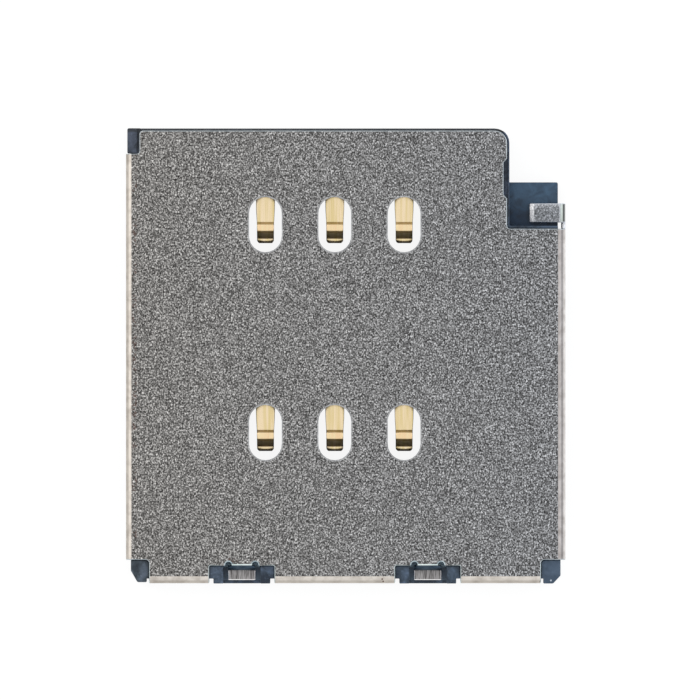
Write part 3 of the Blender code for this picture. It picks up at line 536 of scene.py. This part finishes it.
def strip_tree():
    """Geometry nodes that sweep a strip of sheet along a folded path, with a width at each corner."""
    tree = bpy.data.node_groups.new("stamped_strip", "GeometryNodeTree")
    sockets = tree.interface
    sockets.new_socket("Path", in_out="INPUT", socket_type="NodeSocketGeometry")
    for name in ("Sheet", "Edge Radius"):
        sockets.new_socket(name, in_out="INPUT", socket_type="NodeSocketFloat")
    sockets.new_socket("Place", in_out="INPUT", socket_type="NodeSocketVector")
    sockets.new_socket("Finish", in_out="INPUT", socket_type="NodeSocketMaterial")
    sockets.new_socket("Strip", in_out="OUTPUT", socket_type="NodeSocketGeometry")
    given = add_node(tree, "NodeGroupInput").outputs

    path = add_node(tree, "GeometryNodeMeshToCurve", given["Path"])
    bend_radius = add_node(tree, "GeometryNodeInputNamedAttribute", "bend_radius", data_type="FLOAT")
    bends = add_node(tree, "GeometryNodeFilletCurve", path, 7, bend_radius, True, mode="POLY")
    upright = add_node(tree, "GeometryNodeSetCurveNormal", bends, mode="Z_UP")
    section = add_node(tree, "GeometryNodeCurvePrimitiveQuadrilateral", 1 * MM, given["Sheet"])
    rounded = add_node(tree, "GeometryNodeFilletCurve", section, 3, given["Edge Radius"], mode="POLY")
    sweep = add_node(tree, "GeometryNodeCurveToMesh", upright, rounded, Fill_Caps=True)

    # The section is one millimetre wide, and each corner's width stretches it across
    strip_width = add_node(tree, "GeometryNodeInputNamedAttribute", "strip_width", data_type="FLOAT")
    position = add_node(tree, "GeometryNodeInputPosition")
    x, y, z = add_node(tree, "ShaderNodeSeparateXYZ", position).outputs
    across = add_node(tree, "ShaderNodeMath", x, strip_width, operation="MULTIPLY")
    stretched = add_node(tree, "ShaderNodeCombineXYZ", across, y, z)
    shaped = add_node(tree, "GeometryNodeSetPosition", sweep, Position=stretched)
    placed = add_node(tree, "GeometryNodeTransform", shaped, given["Place"])
    real = add_node(tree, "GeometryNodeRealizeInstances", placed)
    finished = add_node(tree, "GeometryNodeSetMaterial", real, Material=given["Finish"])
    add_node(tree, "NodeGroupOutput", finished)
    return tree


def run_tree(tree, name, base, inputs):
    """Run a geometry tree on a base mesh with its inputs named, and keep the plain result."""
    item = bpy.data.objects.new(name, base)
    bpy.context.scene.collection.objects.link(item)
    maker = item.modifiers.new("maker", "NODES")
    maker.node_group = tree
    sockets = {socket.name: socket.identifier for socket in tree.interface.items_tree
               if socket.in_out == "INPUT"}
    for key, value in inputs.items():
        maker[sockets[key]] = value
    return plain_mesh(item, name)


def folded_path(name, corners):
    """Wire along a strip's middle, as (along, up, bend radius, width) corners in millimetres."""
    mesh = bpy.data.meshes.new(name)
    points = [(0, along * MM, up * MM) for along, up, _, _ in corners]
    mesh.from_pydata(points, [(index, index + 1) for index in range(len(points) - 1)], [])
    for key, column, scale in (("bend_radius", 2, MM), ("strip_width", 3, 1)):
        values = mesh.attributes.new(key, "FLOAT", "POINT")
        for item, corner in zip(values.data, corners):
            item.value = corner[column] * scale
    return mesh


def make_contacts(gold):
    """Six sprung contacts, each swept as one strip whose arm bends down to the nose."""
    sheet = 0.10
    edge_radius = 0.03
    crest = 1.03
    level = 0.90
    crest_along = -2.65
    smooth_below = 35
    # Along the strip from tail to tip: place from the pivot, height, bend radius and width
    corners = [
        (0.65, -0.07, 0, 0.56),
        (0.62, -0.07, 0, 0.60),
        (0.335, -0.07, 0.07, 0.60),
        (0.235, 0, 0.07, 0.60),
        (0.205, 0, 0, 0.60),
        (0.20, 0, 0, 1.60),
        (-0.20, 0, 0, 1.60),
        (-0.205, 0, 0, 0.94),
        (-0.27, 0, 0.20, 0.94),
        (-0.60, 0.297, 0, 0.94),
        (-1.27, level, 0.20, 0.78),
        (-1.60, level, 0, 0.70),
        (-2.00, level, 0, 0.68),
        (crest_along + 0.21, level, 0.055, 0.63),
        (crest_along + 0.09, crest, 0.055, 0.62),
        (crest_along - 0.06, crest, 0.07, 0.62),
        (crest_along - 0.36, crest - 0.38, 0.06, 0.62),
        (crest_along - 0.455, crest - 0.385, 0, 0.61),
        (crest_along - 0.485, crest - 0.40, 0, 0.57),
        (crest_along - 0.515, crest - 0.425, 0, 0.48),
    ]
    tree = strip_tree()
    for joint in frame["joints"]:
        node = joint["child"].replace("spring_", "contact_")
        if node not in frame["nodes"]:
            continue
        pivot = Vector(joint["pos_m"])
        piece = run_tree(tree, node + "_gold", folded_path(node + "_path", corners), {
            "Sheet": sheet * MM,
            "Edge Radius": edge_radius * MM,
            "Place": pivot,
            "Finish": gold,
        })
        piece.data.shade_smooth()
        piece.data.set_sharp_from_angle(angle=math.radians(smooth_below))
        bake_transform(piece)
        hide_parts(node)


def make_switch(gold):
    """Tray-detect leaf and the fixed blade beside it."""
    easing = 0.015
    leaf = eased_copy("detect_spring", "detect_leaf_gold", easing, [gold])
    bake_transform(leaf)
    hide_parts("detect_spring")
    blade = eased_copy("detect_terminal", "detect_blade_gold", easing, [gold])
    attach(blade, FIXED_BODY)
    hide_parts("detect_terminal")


def make_cover(steel, sheared):
    """The folded cover. The latches' tight bends stay as they are folded, the slots as pierced."""
    easing = 0.028
    margin = 0.06
    above = PLATE_TOP + margin
    latch_reach = 0.66
    sharp_boxes = [((centre - latch_reach, -7.90, 0.70), (centre + latch_reach, -7.50, above))
                   for centre in NOTCHES]
    left = SLOT_COLUMNS[0] - SLOT_HALF_WIDTH - margin
    right = SLOT_COLUMNS[-1] + SLOT_HALF_WIDTH + margin
    reach = SLOT_HALF_STRAIGHT + SLOT_HALF_WIDTH + margin
    sharp_boxes += [((left, row - reach, 1.20), (right, row + reach, above)) for row in SLOT_ROWS]
    cover = eased_copy("shell", "cover_sheet", easing, [steel, sheared], sharp_boxes)
    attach(cover, FIXED_BODY)
    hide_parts("shell")


def make_moulding(plastic):
    """The insulator. Its underside lies on the board, and its front lip is a sharp parting line."""
    easing = 0.02
    underside = ((-OUTSIDE, -OUTSIDE, -0.01), (OUTSIDE, OUTSIDE, 0.05))
    front_lip = ((-7.5, 8.2, 0.0), (OUTSIDE, OUTSIDE, PLATE_TOP))
    moulding = eased_copy("housing", "moulded_body", easing, [plastic], [underside, front_lip])
    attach(moulding, FIXED_BODY)
    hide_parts("housing")


def make_camera():
    """Straight down on the plate, from far enough that the side walls stay hidden."""
    camera = bpy.data.cameras.new("camera")
    view_width = FRAME_PIXELS / PIXELS_PER_MM
    camera.sensor_width = SENSOR_WIDTH
    camera.lens = SENSOR_WIDTH * CAMERA_HEIGHT / view_width
    camera.clip_start = 0.01
    camera.clip_end = 10
    item = bpy.data.objects.new("camera", camera)
    half = FRAME_PIXELS / 2
    x = (half - ORIGIN_PIXEL_X) / PIXELS_PER_MM
    y = (ORIGIN_PIXEL_Y - half) / PIXELS_PER_MM
    item.location = Vector((x, y, CAMERA_HEIGHT + PLATE_TOP)) * MM
    bpy.context.scene.collection.objects.link(item)
    bpy.context.scene.camera = item


def soft_lamp(name, place, watts, colour):
    """Square soft lamp at a place in millimetres, turned to the part."""
    lamp = bpy.data.lights.new(name, "AREA")
    lamp.shape = "SQUARE"
    lamp.size = 130 * MM
    lamp.energy = watts
    lamp.color = srgb(colour)[:3]
    item = bpy.data.objects.new(name, lamp)
    item.location = Vector(place) * MM
    item.rotation_euler = Vector(place).to_track_quat("Z", "Y").to_euler()
    bpy.context.scene.collection.objects.link(item)


def make_studio():
    """White surroundings, two soft lamps and a white table just under the part."""
    scene = bpy.context.scene
    scene.view_settings.view_transform = "Standard"
    world = bpy.data.worlds.new("studio")
    scene.world = world
    world.use_nodes = True
    background = world.node_tree.nodes["Background"]
    background.inputs["Color"].default_value = srgb("#f7f8fa")
    background.inputs["Strength"].default_value = 0.92
    soft_lamp("lamp_left", (-160, 90, 130), 0.10, "#fff6ea")
    soft_lamp("lamp_right", (170, 40, 120), 0.08, "#eef4ff")
    table_size = 1200
    table_gap = 0.02
    bpy.ops.mesh.primitive_plane_add(size=table_size * MM, location=(0, 0, -table_gap * MM))
    table = bpy.context.active_object
    table.name = "white_table"
    table.data.materials.append(pale_floor())


steel = cover_steel()
sheared = sheared_steel()
plastic = moulded_plastic()
gold = gold_plate()
make_camera()
make_studio()
make_cover(steel, sheared)
make_moulding(plastic)
make_contacts(gold)
make_switch(gold)
